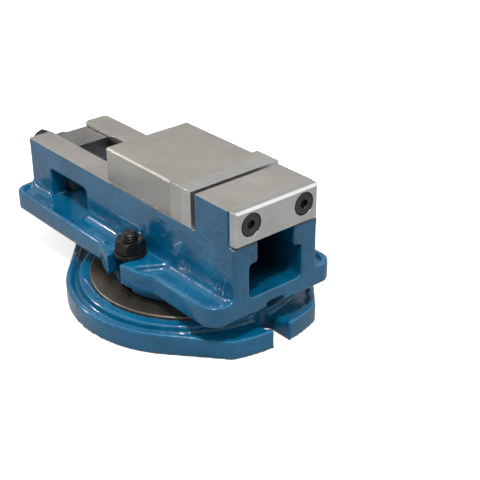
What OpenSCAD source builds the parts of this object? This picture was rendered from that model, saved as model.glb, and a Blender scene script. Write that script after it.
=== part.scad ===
// Swivel-base machine vise with an angle-lock moving jaw.
// Frame: +Z up, +X from the screw end towards the fixed jaw, +Y to the far side.
// Origin: on the swivel axis, on the underside of the base.

/* [Swivel base] */
// Outer diameter of the round base
base_d = 125; // [118:1:160]
// How far each bolting ear reaches beyond the round base
ear_reach = 7.8; // [6:0.1:20]
// Radius of the corners of the ears
ear_corner = 5; // [4:0.5:10]
// Angle from the X axis at which each ear leaves the round base
ear_angle = 49; // [40:1:55]
// Height of the rim round the base
rim_h = 10.7; // [9:0.1:14]
// Height of the lower rim round each ear
ear_h = 9.9; // [8:0.1:13]
// Height of the sunk floor inside the rim
base_floor = 8.0; // [7.8:0.1:9]
// Thickness of the outer rim
base_rim_t = 3.3; // [2.5:0.1:5]
// Diameter of the raised table that the degree ring is let into
table_d = 112; // [106:1:130]
// Height of the painted shoulder of the table
table_h = 11.9; // [11:0.1:16]
// Outer diameter of the degree ring
ring_d = 100.6; // [96:0.2:104]
// Height of the top of the degree ring, which is the turning face
turn_h = 13.3; // [12.5:0.1:18]
// Thickness of the degree ring
ring_t = 3.3; // [2:0.1:4]
// Width of the open slot in each ear
ear_slot_w = 9.5; // [8.5:0.1:12]
// Distance from the axis to the closed end of each ear slot
ear_slot_in = 58; // [57:0.5:62]

/* [Clamp bolts] */
// Thread diameter of the two T-bolts and their nuts
bolt_d = 8; // [6:1:10]
// Distance of the T-bolts from the centre line of the vise
bolt_y = 33.5; // [32:0.1:35]
// Distance that the T-bolts sit behind the swivel axis
bolt_back = 2.7; // [0:0.1:4]
// Height of the top of the T-bolts
bolt_top = 42.8; // [41:0.2:60]
// Side of the square head of a T-bolt
bolt_head = 12.6; // [11:0.1:13]
// Thickness of the head of a T-bolt
bolt_head_t = 4.2; // [3:0.1:4.4]
// Width of the open notches in the body that take the bolts
notch_w = 11; // [10:0.1:13]

/* [Body casting] */
// Height of the round boss that the body turns on
boss_h = 7; // [5:0.1:10]
// Diameter of the round boss
boss_d = 76.8; // [70:0.2:80]
// Thickness of the floor of the body
floor_t = 8.7; // [7:0.1:14]
// Height of the screw channel inside the body
cavity_h = 17.5; // [17:0.1:26]
// Thickness of the rails over the screw channel
rail_t = 9.7; // [7:0.1:14]
// Width of the body across the rails
body_w = 50.6; // [46:0.2:60]
// Width of the slot between the rails
slot_w = 21.8; // [20:0.1:24]
// Width of the screw channel below the rails
cavity_w = 31.8; // [29:0.1:36]
// Distance from the swivel axis to the rear end of the body
body_rear = 107.2; // [98:0.1:132]
// Thickness of the fixed jaw
fixed_jaw_t = 23.4; // [20:0.1:32]
// Distance from the swivel axis to the gripping face of the fixed jaw
fixed_face = 38.3; // [36:0.1:60]
// Height of the jaws above the rails
jaw_h = 18.8; // [17:0.1:24]
// Width across the two clamping wings
wing_w = 76.6; // [70:0.2:84]
// Height of the wings at their rim
wing_h = 10.3; // [9:0.1:13]
// Width of the rim round each wing
wing_rim = 3.4; // [2.5:0.1:5]
// Depth of the tray inside the rim
tray_depth = 2.4; // [1.5:0.1:4]
// Radius of the corners of the wings
wing_corner = 9; // [5:0.5:12]
// Diameter of the round flange that carries the bolt notches
flange_d = 88.6; // [86:0.2:92]
// Distance from the swivel axis to the rear end of the side windows
window_rear = 86.6; // [80:0.1:90]
// Length of the side windows
window_len = 34; // [25:0.5:42]
// Width of the key slot under the body
key_w = 10.4; // [8:0.1:12]
// Depth of the key slot under the body
key_depth = 2.7; // [2:0.1:4]

/* [Jaws and plates] */
// Gap between the jaws as the vise stands
jaw_gap = 2.6; // [1:0.1:4]
// Length of the moving jaw behind its head
jaw_len = 51; // [48:0.1:60]
// Length of the wide head of the moving jaw
head_len = 8; // [6:0.1:12]
// Thickness of the moving jaw plate
plate_t = 7.4; // [6:0.1:10]
// Width of the moving jaw plate and head
plate_w = 53.4; // [50.6:0.1:62]
// Distance that the plate and head stand off centre, flush with the near side
plate_shift = 1.3; // [0:0.1:2]
// Thickness of the plate on the outer face of the fixed jaw
front_plate_t = 4.9; // [4:0.1:8]
// Width of the plate on the fixed jaw
front_plate_w = 49.6; // [44:0.2:56]
// Height of the plate on the fixed jaw
front_plate_h = 16.8; // [15:0.1:24]
// Distance that the plate stands proud of the body's front face
plate_proud = 0.9; // [0.2:0.1:2]
// Distance between the two screws of a jaw plate
plate_screw_pitch = 31.5; // [28:0.5:34]
// Distance of the plate screws below the top of the jaws
plate_screw_drop = 7.8; // [7:0.1:10]
// Thread diameter of the countersunk plate screws
plate_screw_d = 6; // [5:1:6]
// Width of the chamfer along the upper edges of the moving jaw
jaw_chamfer = 0.8; // [0.4:0.1:2]

/* [Screw and angle lock] */
// Thread diameter of the lead screw
screw_d = 12; // [10:0.5:14]
// Diameter of the plain journal at the rear of the lead screw
journal_d = 8; // [6:0.5:9]
// How far the bearing bracket stands in from the rear ends of the rails
bracket_in = 2.2; // [1:0.1:4]
// Length of the bearing bracket
bracket_len = 21; // [16:0.5:26]
// Distance of the top of the bracket below the rails
bracket_drop = 2.4; // [1:0.1:4]
// Outer diameter of the thrust bearing
bearing_d = 16; // [15:0.5:17]
// Thickness of each bearing race
race_t = 1.4; // [1:0.1:2]
// Diameter of the bearing balls
ball_d = 2.4; // [2:0.1:3]
// Number of bearing balls
ball_count = 10; // [6:1:12]
// Diameter of the collar of the drive hub
hub_d = 23; // [18:0.5:26]
// Length of the collar of the drive hub
hub_len = 9; // [6:0.5:14]
// Width across the flats of the drive hexagon
hex_af = 13; // [11:0.5:14]
// Length of the drive hexagon
hex_len = 21; // [14:0.5:26]
// Length of the screw nut
nut_len = 28; // [24:0.5:32]
// Radius of the half-round lock segment
segment_r = 6; // [5:0.1:6.5]

/* [Hidden] */
$fn = 96;
// Clearances: sliding faces, running bores, and the smallest play between fitted pieces
slide_gap = 0.05;
run_gap = 0.03;
play = 0.3;
// Overshoot of a cut past the face that it opens
cut = 1;
// A straight side stands this far inside the curve that it runs into
tuck = 0.02;

ear_d = base_d + 2 * ear_reach;
body_z = turn_h + boss_h;
cavity_z = body_z + floor_t;
lip_z = cavity_z + cavity_h;
bed_z = lip_z + rail_t;
top_z = bed_z + jaw_h;
wing_z = body_z + wing_h;
screw_z = cavity_z + cavity_h / 2;

front_plate_x = fixed_face + fixed_jaw_t;
front_plate_z = top_z - front_plate_h;
body_front = front_plate_x + front_plate_t - plate_proud;
plate_face = fixed_face - jaw_gap;
head_front = plate_face - plate_t;
head_rear = head_front - head_len;
jaw_rear = head_rear - jaw_len;
plate_screw_z = top_z - plate_screw_drop;
csk_d = 1.9 * plate_screw_d;
csk_depth = (csk_d - plate_screw_d) / 2;
head_sunk = 0.15;
head_wall = 1.2;
plate_gap = 1.2;
plate_head_d = csk_d - 1;
head_cone = (plate_head_d - plate_screw_d) / 2 + 0.02;
plate_screw_len = 2.7 * plate_screw_d;
socket_af = 0.67 * plate_screw_d;

bolt_r = norm([bolt_back, bolt_y]);
bolt_angle = atan2(bolt_y, -bolt_back);
t_mouth = bolt_d + 0.8;
t_room = bolt_head + 2.0;
t_floor = 2.8;
t_lip_z = t_floor + bolt_head_t + 0.6;
washer_d = 2 * bolt_d;
washer_t = 0.2 * bolt_d;
nut_h = 0.8 * bolt_d;
nut_af = 1.625 * bolt_d;
pad_z = wing_z + 0.4;
pad_out = 9.2;
pad_in = 21.5;
nut_z = pad_z + washer_t;
pin_d = 16;
pin_z = 2.5;
pin_rise = 8.5;

bracket_rear = -body_rear + bracket_in;
bracket_front = bracket_rear + bracket_len;
bearing_t = 2 * race_t + ball_d;
shoulder_x = bracket_front + bearing_t;
screw_front = 14;
rear_washer_t = bracket_in + 0.2;
hub_x = bracket_rear - rear_washer_t;
hub_rear = hub_x - hub_len;
hex_rear = hub_rear - hex_len;
bracket_screw_d = 5;
bracket_screw_y = 10.5;
bracket_screw_x = bracket_rear + bracket_len / 2;

// The half-round segment's centre, the foot of the nut's sloping face, and the tongue
segment_z = bed_z + 0.42 * jaw_h;
segment_x = head_rear - 14.3;
tongue_w = 17;
tongue_top = segment_z + 5;
slope_foot_z = bed_z + 1;
slope_foot_x = segment_x - (segment_z - slope_foot_z);
slope_top_x = segment_x + (tongue_top - segment_z);
tongue_rear = slope_foot_x - 10;
tongue_len = slope_top_x - tongue_rear;
pocket_front = slope_foot_x + 0.8;
pocket_rear = pocket_front - tongue_len - 1;
nut_front = slope_foot_x + 10;
nut_rear = nut_front - nut_len;
set_screw_d = 6;

// Colours of the real finishes
paint = [0.10, 0.42, 0.60];
ground = [0.68, 0.66, 0.63];
silver = [0.75, 0.75, 0.74];
bronze = [0.55, 0.50, 0.46];
black = [0.17, 0.17, 0.17];
bright = [0.62, 0.62, 0.60];
brass = [0.75, 0.62, 0.33];

// ---------- shared shapes ----------

// Points of an outline given as [x, y, corner radius]
function turn(a, b) = let (d = b - a) d > 180 ? d - 360 : d < -180 ? d + 360 : d;
function corner(p, q, s, r, n) =
    let (u = (p - q) / norm(p - q),
         v = (s - q) / norm(s - q),
         half = acos(u * v) / 2,
         c = q + (u + v) / norm(u + v) * r / sin(half),
         a = q + u * r / tan(half) - c,
         b = q + v * r / tan(half) - c,
         t = atan2(a[1], a[0]),
         w = turn(t, atan2(b[1], b[0])))
    [for (i = [0:n]) c + r * [cos(t + w * i / n), sin(t + w * i / n)]];
function xy(p) = [p[0], p[1]];
function rounded(pts, n = 8) =
    let (k = len(pts))
    [for (i = [0:k - 1])
        let (p = xy(pts[(i + k - 1) % k]), q = xy(pts[i]), s = xy(pts[(i + 1) % k]))
        each pts[i][2] > 0 ? corner(p, q, s, pts[i][2], n) : [q]];

module rounded_box(x0, x1, y0, y1, r) {
    polygon(rounded([[x0, y0, r], [x1, y0, r], [x1, y1, r], [x0, y1, r]]));
}

// A block given by its two ends along each axis
module block(x, y, z) {
    translate([x[0], y[0], z[0]]) cube([x[1] - x[0], y[1] - y[0], z[1] - z[0]]);
}

// A YZ outline run along X, and an XZ outline run along Y about the centre line
module along_x(x0, x1) {
    translate([x0, 0, 0]) rotate([90, 0, 90]) linear_extrude(x1 - x0) children();
}
module along_y(w) {
    translate([0, w / 2, 0]) rotate([90, 0, 0]) linear_extrude(w) children();
}

// A rod along X between two stations
module rod(x0, x1, d) {
    translate([x0, 0, 0]) rotate([0, 90, 0]) cylinder(h = x1 - x0, d = d);
}
module tube(x0, x1, d, bore) {
    difference() {
        rod(x0, x1, d);
        rod(x0 - cut, x1 + cut, bore);
    }
}

// A hexagon by its width across flats
module hexagon(af) { circle(d = af / cos(30), $fn = 6); }

// The places of the two clamp bolts, and of the two screws of a jaw plate
module at_bolts() {
    for (side = [-1, 1]) translate([-bolt_back, side * bolt_y, 0]) children();
}
module at_plate_screws(x, shift = 0) {
    for (side = [-1, 1])
        translate([x, shift + side * plate_screw_pitch / 2, plate_screw_z])
            rotate([0, 90, 0]) children();
}

// A countersunk socket screw: head face at the origin, shank towards -Z
module plate_screw() {
    difference() {
        union() {
            translate([0, 0, -csk_depth - head_wall])
                cylinder(h = head_cone, d1 = plate_screw_d - 0.04, d2 = plate_head_d);
            translate([0, 0, head_cone - csk_depth - head_wall])
                cylinder(h = csk_depth + head_wall - head_cone - head_sunk, d = plate_head_d);
            translate([0, 0, -plate_screw_len])
                cylinder(h = plate_screw_len - csk_depth - head_wall + 0.02, d = plate_screw_d);
        }
        translate([0, 0, -csk_depth + 0.4]) linear_extrude(csk_depth + cut) hexagon(socket_af);
    }
}
// The countersunk clearance hole in a plate, its mouth at the origin
module plate_hole() {
    translate([0, 0, -csk_depth - head_wall])
        cylinder(h = csk_depth, d1 = plate_screw_d, d2 = csk_d);
    translate([0, 0, -head_wall]) cylinder(h = head_wall + cut, d = csk_d);
    translate([0, 0, -2 * csk_depth - plate_t]) cylinder(h = 2 * csk_depth + plate_t, d = plate_screw_d + 0.6);
}
// The threaded hole behind the plate
module plate_thread() {
    translate([0, 0, -plate_screw_len - cut]) cylinder(h = plate_screw_len, d = plate_screw_d);
}

// ---------- swivel base ----------

// One ear: a side tangent to the round base, a rounded corner, and an arc round the axis
module base_ear(inset) {
    r = base_d / 2 - inset;
    reach = ear_d / 2 - inset;
    rc = ear_corner - inset;
    out = [cos(ear_angle), sin(ear_angle)];
    down = [sin(ear_angle), -cos(ear_angle)];
    c = (r - rc) * out + sqrt(pow(reach - rc, 2) - pow(r - rc, 2)) * down;
    for (side = [0, 1])
        mirror([0, side]) {
            translate(c) circle(r = rc);
            polygon([[0, 0], (r - tuck) * out, c + (rc - tuck) * out, c, [c[0], 0]]);
        }
    intersection() {
        circle(r = reach - tuck);
        polygon([[0, 0], 2 * c, [2 * c[0], -2 * c[1]]]);
    }
}
module base_outline(inset = 0) {
    circle(d = base_d - 2 * inset);
    base_ear(inset);
    mirror([1, 0]) base_ear(inset);
}
module ear_slots(z0, z1) {
    for (a = [0, 180])
        rotate(a) {
            translate([ear_slot_in, 0, z0]) cylinder(h = z1 - z0, d = ear_slot_w);
            block([ear_slot_in, ear_d], [-ear_slot_w / 2, ear_slot_w / 2], [z0, z1]);
        }
}

module swivel_base() {
    color(paint)
    difference() {
        union() {
            linear_extrude(base_floor) base_outline();
            // Rims round the base and its ears
            difference() {
                union() {
                    cylinder(h = rim_h, d = base_d);
                    linear_extrude(ear_h) base_outline();
                }
                translate([0, 0, base_floor]) linear_extrude(rim_h) base_outline(base_rim_t);
            }
            // Raised table and the turning face inside the ring
            cylinder(h = table_h, d = table_d);
            cylinder(h = turn_h, r = bolt_r);
        }
        // Seat of the degree ring
        translate([0, 0, turn_h - ring_t])
            difference() {
                cylinder(h = ring_t + cut, d = ring_d);
                translate([0, 0, -cut]) cylinder(h = ring_t + 3 * cut, r = bolt_r);
            }
        // Circular T-slot: mouth, room for the heads, and two openings to put them in
        translate([0, 0, t_floor])
            rotate_extrude()
                translate([bolt_r - t_mouth / 2, 0]) square([t_mouth, turn_h]);
        translate([0, 0, t_floor])
            rotate_extrude()
                translate([bolt_r - t_room / 2, 0]) square([t_room, t_lip_z - t_floor]);
        for (side = [-1, 1])
            block([side * bolt_r - t_room / 2 + play, side * bolt_r + t_room / 2 - play],
                  [-t_room / 2, t_room / 2], [-cut, t_floor + cut]);
        // Socket of the centre pin
        translate([0, 0, pin_z]) cylinder(h = turn_h, d = pin_d);
        ear_slots(-cut, rim_h + cut);
    }
}

module degree_ring() {
    color(bronze)
    rotate_extrude()
        polygon([
            [bolt_r + t_mouth / 2, turn_h - ring_t],
            [ring_d / 2, turn_h - ring_t],
            [ring_d / 2, turn_h - 0.5],
            [ring_d / 2 - 0.5, turn_h],
            [bolt_r + t_mouth / 2, turn_h]]);
}

module centre_pin() {
    color(bright)
    rotate_extrude()
        polygon([
            [0, pin_z], [pin_d / 2, pin_z], [pin_d / 2, turn_h],
            [pin_d / 2 - run_gap, turn_h], [pin_d / 2 - run_gap, turn_h + pin_rise - 1],
            [pin_d / 2 - 1, turn_h + pin_rise], [0, turn_h + pin_rise]]);
}

// ---------- body casting ----------

// Outline of both wings and the round flange between them, drawn smaller by the inset
module wing_outline(inset = 0) {
    rounded_box(-body_rear + inset, body_front - inset, -wing_w / 2 + inset, wing_w / 2 - inset,
                wing_corner - inset);
    circle(d = flange_d - 2 * inset);
}
// Flared pad under each clamp nut
module pad_outline() {
    for (side = [0, 1])
        mirror([0, side])
            polygon([
                [-bolt_back - pad_out, flange_d / 2 + cut], [-bolt_back + pad_out, flange_d / 2 + cut],
                [-bolt_back + pad_in, body_w / 2 - cut], [-bolt_back - pad_in, body_w / 2 - cut]]);
}
// T-shaped opening that takes the screw and its nut
module channel_section() {
    s = slot_w / 2;
    c = cavity_w / 2;
    polygon(rounded([
        [-c, cavity_z, 2.5], [c, cavity_z, 2.5], [c, lip_z, 2], [s, lip_z, 1.2],
        [s, front_plate_z, 0], [-s, front_plate_z, 0], [-s, lip_z, 1.2], [-c, lip_z, 2]], 4));
}
// Concave fillet between a tray and the side of the body
module side_fillet(x0, x1) {
    r = 4.5;
    y = body_w / 2;
    z = wing_z - tray_depth;
    along_x(x0, x1)
        difference() {
            translate([y - 0.5, z - 0.5]) square(r + 0.5);
            translate([y + r, z + r]) circle(r = r);
        }
}
// The slot between the rails, its mouth rounded at the rear
module rail_slot() {
    x = -body_rear;
    s = slot_w / 2;
    polygon(rounded([
        [x - cut, -s - 3.5, 0], [x - tuck, -s - 3.5, 0], [x - tuck, -s, 2], [fixed_face, -s, 0],
        [fixed_face, s, 0], [x - tuck, s, 2], [x - tuck, s + 3.5, 0], [x - cut, s + 3.5, 0]]));
}
module vise_body() {
    w = body_w / 2;
    window_z = wing_z - tray_depth;
    color(paint)
    difference() {
        union() {
            translate([0, 0, body_z])
                linear_extrude(bed_z - body_z)
                    polygon(rounded([
                        [-body_rear, -w, 1.5], [body_front, -w, 0], [body_front, w, 0],
                        [-body_rear, w, 1.5]]));
            block([fixed_face, body_front], [-body_w / 2, body_w / 2], [bed_z - cut, top_z]);
            // Wings with raised rims
            difference() {
                translate([0, 0, body_z]) linear_extrude(wing_h) wing_outline();
                translate([0, 0, wing_z - tray_depth])
                    linear_extrude(tray_depth + cut)
                        difference() {
                            wing_outline(wing_rim);
                            square([2 * body_rear, body_w - 1], center = true);
                            pad_outline();
                        }
            }
            for (side = [0, 1])
                mirror([0, side, 0]) side_fillet(-body_rear + wing_rim, body_front - wing_rim);
            translate([0, 0, body_z])
                linear_extrude(pad_z - body_z)
                    intersection() {
                        circle(d = flange_d);
                        pad_outline();
                    }
            translate([0, 0, turn_h + slide_gap]) cylinder(h = boss_h + cut, d = boss_d);
        }
        // Screw channel, open at both ends and under the fixed jaw
        along_x(-body_rear - cut, body_front + cut) channel_section();
        translate([0, 0, lip_z]) linear_extrude(top_z - lip_z + cut) rail_slot();
        // Side windows, their sills level with the trays
        along_y(body_w + 11)
            polygon(rounded([
                [-window_rear, window_z, 0], [-window_rear + window_len, window_z, 0],
                [-window_rear + window_len, lip_z - 2.3, 3], [-window_rear, lip_z - 2.3, 1]]));
        // Seat of the plate on the fixed jaw
        block([front_plate_x, body_front + cut], [-body_w, body_w],
              [front_plate_z - plate_gap, top_z + cut]);
        at_plate_screws(front_plate_x + front_plate_t) plate_thread();
        // Notches for the clamp bolts
        for (side = [0, 1])
            mirror([0, side, 0])
                translate([-bolt_back, bolt_y, turn_h - cut]) {
                    cylinder(h = boss_h + wing_h + 2 * cut, d = notch_w);
                    block([-notch_w / 2, notch_w / 2], [0, flange_d], [0, boss_h + wing_h + 2 * cut]);
                }
        // Spot faces that clear the washers and nuts
        at_bolts() translate([0, 0, pad_z]) cylinder(h = nut_h + 7, d = washer_d + 1);
        // Key slots under both ends, and the bore for the centre pin
        block([boss_d / 2, body_front + cut], [-key_w / 2, key_w / 2], [body_z - cut, body_z + key_depth]);
        block([-body_rear - cut, -boss_d / 2], [-key_w / 2, key_w / 2],
              [body_z - cut, body_z + key_depth]);
        translate([0, 0, turn_h - cut]) cylinder(h = pin_rise + cut + play, d = pin_d);
        // Holes for the bracket screws
        at_bracket_screws() bracket_screw_hole();
    }
}

module fixed_jaw_plate() {
    c = 1.2;
    color(silver)
    difference() {
        block([front_plate_x, front_plate_x + front_plate_t],
              [-front_plate_w / 2, front_plate_w / 2], [front_plate_z, top_z]);
        translate([front_plate_x + front_plate_t, 0, top_z])
            rotate([0, 45, 0]) cube([c * sqrt(2), body_w * 2, c * sqrt(2)], center = true);
        for (side = [-1, 1])
            translate([front_plate_x + front_plate_t, side * front_plate_w / 2, 0])
                rotate(45) cube([c * sqrt(2), c * sqrt(2), 3 * top_z], center = true);
        for (side = [-1, 1])
            translate([front_plate_x, side * front_plate_w / 2, 0])
                rotate(45) cube([0.9, 0.9, 3 * top_z], center = true);
        at_plate_screws(front_plate_x + front_plate_t) plate_hole();
    }
}
module fixed_plate_screws() {
    color(black)
    at_plate_screws(front_plate_x + front_plate_t) plate_screw();
}

// ---------- clamp bolts ----------

module clamp_bolts() {
    color(black)
    at_bolts() {
        translate([0, 0, t_floor + 0.5]) cylinder(h = bolt_top - t_floor - 1.3, d = bolt_d);
        translate([0, 0, bolt_top - 0.81]) cylinder(h = 0.81, d1 = bolt_d, d2 = bolt_d - 1.6);
    }
    color(black)
    for (side = [-1, 1])
        rotate(side * bolt_angle)
            block([bolt_r - bolt_head / 2, bolt_r + bolt_head / 2],
                  [-bolt_head / 2, bolt_head / 2], [t_floor + 0.3, t_floor + 0.3 + bolt_head_t]);
}
module clamp_washers() {
    color(black)
    at_bolts()
        translate([0, 0, pad_z])
            difference() {
                cylinder(h = washer_t, d = washer_d);
                translate([0, 0, -cut]) cylinder(h = washer_t + 2 * cut, d = bolt_d + 0.4);
            }
}
// A nut with its corners turned down above and below
module clamp_nut() {
    difference() {
        intersection() {
            linear_extrude(nut_h) hexagon(nut_af);
            union() {
                cylinder(h = nut_h / 2, d1 = nut_af * 1.02, d2 = nut_af * 1.02 + nut_h * 1.2);
                translate([0, 0, nut_h / 2])
                    cylinder(h = nut_h / 2, d1 = nut_af * 1.02 + nut_h * 1.2, d2 = nut_af * 1.02);
            }
        }
        translate([0, 0, -cut]) cylinder(h = nut_h + 2 * cut, d = bolt_d + 2 * run_gap);
    }
}
module near_clamp_nut() {
    color(black) translate([-bolt_back, -bolt_y, nut_z]) rotate(12) clamp_nut();
}
module far_clamp_nut() {
    color(black) translate([-bolt_back, bolt_y, nut_z]) rotate(-8) clamp_nut();
}

// ---------- moving jaw ----------

module jaw_pocket() {
    polygon([
        [pocket_rear, bed_z - cut], [pocket_front, bed_z - cut], [pocket_front, slope_foot_z - 0.2],
        [pocket_front + (tongue_top - slope_foot_z) + 0.8, tongue_top + 0.6],
        [pocket_rear, tongue_top + 0.6]]);
}
module moving_jaw() {
    foot = 1.3;
    w = body_w / 2;
    c = jaw_chamfer;
    z0 = bed_z + slide_gap;
    color(ground)
    difference() {
        union() {
            // Block, with its upper edges broken and its lower edges relieved
            along_x(jaw_rear, head_rear)
                polygon([
                    [-w + foot, z0], [w - foot, z0], [w - foot, z0 + foot * 0.4], [w, z0 + foot],
                    [w, top_z - c], [w - c, top_z], [-w + c, top_z], [-w, top_z - c],
                    [-w, z0 + foot], [-w + foot, z0 + foot * 0.4]]);
            block([head_rear - 0.01, head_front],
                  [plate_shift - plate_w / 2, plate_shift + plate_w / 2], [z0, top_z]);
        }
        along_y(tongue_w + 1) jaw_pocket();
        translate([segment_x, 0, segment_z]) sphere(r = segment_r + 0.02);
        translate([0, 0, segment_z]) rod(jaw_rear - cut, pocket_rear + cut, set_screw_d);
        at_plate_screws(plate_face, plate_shift) plate_thread();
    }
}
module moving_jaw_plate() {
    z0 = bed_z + slide_gap;
    color(silver)
    difference() {
        block([head_front, plate_face],
              [plate_shift - plate_w / 2, plate_shift + plate_w / 2], [z0, top_z]);
        at_plate_screws(plate_face, plate_shift) plate_hole();
    }
}
module moving_plate_screws() {
    color(black)
    at_plate_screws(plate_face, plate_shift) plate_screw();
}
// Half ball, its flat side on the sloping face of the nut
module lock_segment() {
    color(bright)
    translate([segment_x, 0, segment_z])
        rotate([0, 135, 0])
            intersection() {
                sphere(r = segment_r);
                cylinder(h = segment_r + cut, r = segment_r + cut);
            }
}
module screw_nut() {
    half = cavity_w / 2 - 0.5;
    z0 = cavity_z + 0.4;
    z1 = lip_z - 0.15;
    color(ground)
    difference() {
        union() {
            along_x(nut_rear, nut_front)
                polygon([
                    [-half + 3, z0], [half - 3, z0], [half, z0 + 3], [half, z1 - 2.5], [half - 2.5, z1],
                    [-half + 2.5, z1], [-half, z1 - 2.5], [-half, z0 + 3]]);
            along_y(tongue_w)
                polygon([
                    [tongue_rear, z1 - 1], [slope_foot_x, z1 - 1], [slope_foot_x, slope_foot_z],
                    [slope_top_x, tongue_top], [tongue_rear, tongue_top]]);
        }
        translate([0, 0, screw_z]) rod(nut_rear - cut, nut_front + cut, screw_d + 2 * run_gap);
    }
}
// Socket set screw that takes up the play behind the nut
module jaw_set_screw() {
    color(black)
    translate([0, 0, segment_z])
        difference() {
            rod(jaw_rear + 0.8, tongue_rear - 0.02, set_screw_d);
            translate([jaw_rear, 0, 0]) rotate([0, 90, 0]) linear_extrude(4) hexagon(3);
        }
}

// ---------- screw, bracket and bearing ----------

module at_bracket_screws() {
    for (side = [-1, 1]) translate([bracket_screw_x, side * bracket_screw_y, body_z]) children();
}
// Cap screws from below: the head is sunk in the underside of the body
module bracket_screw_hole() {
    translate([0, 0, -cut]) cylinder(h = 5.6 + cut, d = 9.4);
    cylinder(h = floor_t + cut, d = bracket_screw_d + 0.5);
}
module bracket_screws() {
    color(black)
    at_bracket_screws()
        difference() {
            union() {
                translate([0, 0, 0.6]) cylinder(h = 5, d = 8.5);
                translate([0, 0, 5.5]) cylinder(h = floor_t + 0.9, d = bracket_screw_d);
            }
            linear_extrude(3.2) hexagon(4);
        }
}
module screw_bracket() {
    s = slot_w / 2 - 0.1;
    c = cavity_w / 2 - 0.1;
    z0 = cavity_z;
    z1 = lip_z - 0.1;
    top = bed_z - bracket_drop;
    color(ground)
    difference() {
        along_x(bracket_rear, bracket_front)
            polygon([
                [-c + 2.4, z0], [c - 2.4, z0], [c, z0 + 2.4], [c, z1 - 2], [c - 2, z1], [s, z1],
                [s, top - 0.6], [s - 0.6, top], [-s + 0.6, top], [-s, top - 0.6], [-s, z1],
                [-c + 2, z1], [-c, z1 - 2], [-c, z0 + 2.4]]);
        translate([0, 0, screw_z]) rod(bracket_rear - cut, bracket_front + cut, journal_d + 2 * run_gap);
        at_bracket_screws() cylinder(h = floor_t + 7, d = bracket_screw_d);
    }
}
module rear_race() {
    color(bright)
    translate([0, 0, screw_z])
        difference() {
            tube(bracket_front, bracket_front + race_t, bearing_d, journal_d + 2 * play);
            ball_track(bracket_front + race_t + ball_d / 2);
        }
}
module front_race() {
    color(bright)
    translate([0, 0, screw_z])
        difference() {
            tube(shoulder_x - race_t, shoulder_x, bearing_d, journal_d);
            ball_track(shoulder_x - race_t - ball_d / 2);
        }
}
ball_circle = (bearing_d + journal_d) / 4;
// Shallow groove that the balls run in
module ball_track(x) {
    translate([x, 0, 0])
        rotate([0, 90, 0])
            rotate_extrude() translate([ball_circle, 0]) circle(d = ball_d + 0.2);
}
module bearing_cage() {
    x = bracket_front + race_t + ball_d / 2;
    color(brass)
    translate([0, 0, screw_z])
        difference() {
            tube(x - 0.5, x + 0.5, bearing_d - 0.6, journal_d + 0.6);
            for (i = [1:ball_count])
                rotate([i * 360 / ball_count, 0, 0])
                    translate([x - cut, 0, ball_circle]) rotate([0, 90, 0])
                        cylinder(h = 2 * cut, d = ball_d + 0.1, $fn = 32);
        }
}
module bearing_balls() {
    x = bracket_front + race_t + ball_d / 2;
    color(bright)
    translate([0, 0, screw_z])
        for (i = [1:ball_count])
            rotate([i * 360 / ball_count, 0, 0])
                translate([x, 0, ball_circle]) sphere(d = ball_d, $fn = 32);
}
module rear_thrust_washer() {
    color(brass)
    translate([0, 0, screw_z])
        tube(hub_x + slide_gap, bracket_rear, bearing_d + 1, journal_d + 2 * play);
}
module lead_screw() {
    c = 1.2;
    color(bright)
    translate([0, 0, screw_z])
        difference() {
            union() {
                rod(shoulder_x, screw_front - c, screw_d);
                translate([screw_front - c, 0, 0])
                    rotate([0, 90, 0]) cylinder(h = c, d1 = screw_d, d2 = screw_d - 2 * c);
                rod(hex_rear + 3, shoulder_x + 0.01, journal_d);
            }
            translate([hub_rear - hex_len / 2, 0, 0])
                cylinder(h = 2 * hex_af, d = 3, center = true);
        }
}
// Collar and drive hexagon in one piece, pinned to the screw
module drive_hub() {
    color(black)
    translate([0, 0, screw_z])
        difference() {
            union() {
                rod(hub_rear, hub_x, hub_d);
                translate([hex_rear, 0, 0]) rotate([0, 90, 0])
                    intersection() {
                        linear_extrude(hex_len + 0.01) hexagon(hex_af);
                        cylinder(h = hex_len + 0.01, d1 = hex_af * 1.0, d2 = hex_af + hex_len * 1.6);
                    }
            }
            rod(hex_rear + 3, hub_x + cut, journal_d);
            translate([hub_rear - hex_len / 2, 0, 0])
                cylinder(h = 2 * hex_af, d = 3, center = true);
        }
}
module hub_pin() {
    color(bright)
    translate([hub_rear - hex_len / 2, 0, screw_z])
        cylinder(h = hex_af - 0.6, d = 3, center = true);
}

// ---------- nodes ----------

swivel_base();
degree_ring();
centre_pin();
vise_body();
fixed_jaw_plate();
fixed_plate_screws();
screw_bracket();
bracket_screws();
rear_race();
rear_thrust_washer();
clamp_bolts();
clamp_washers();
near_clamp_nut();
far_clamp_nut();
moving_jaw();
moving_jaw_plate();
moving_plate_screws();
lock_segment();
screw_nut();
jaw_set_screw();
lead_screw();
front_race();
drive_hub();
hub_pin();
bearing_cage();
bearing_balls();
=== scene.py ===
import math

import bmesh
import bpy
from mathutils import Matrix, Quaternion, Vector


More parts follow.
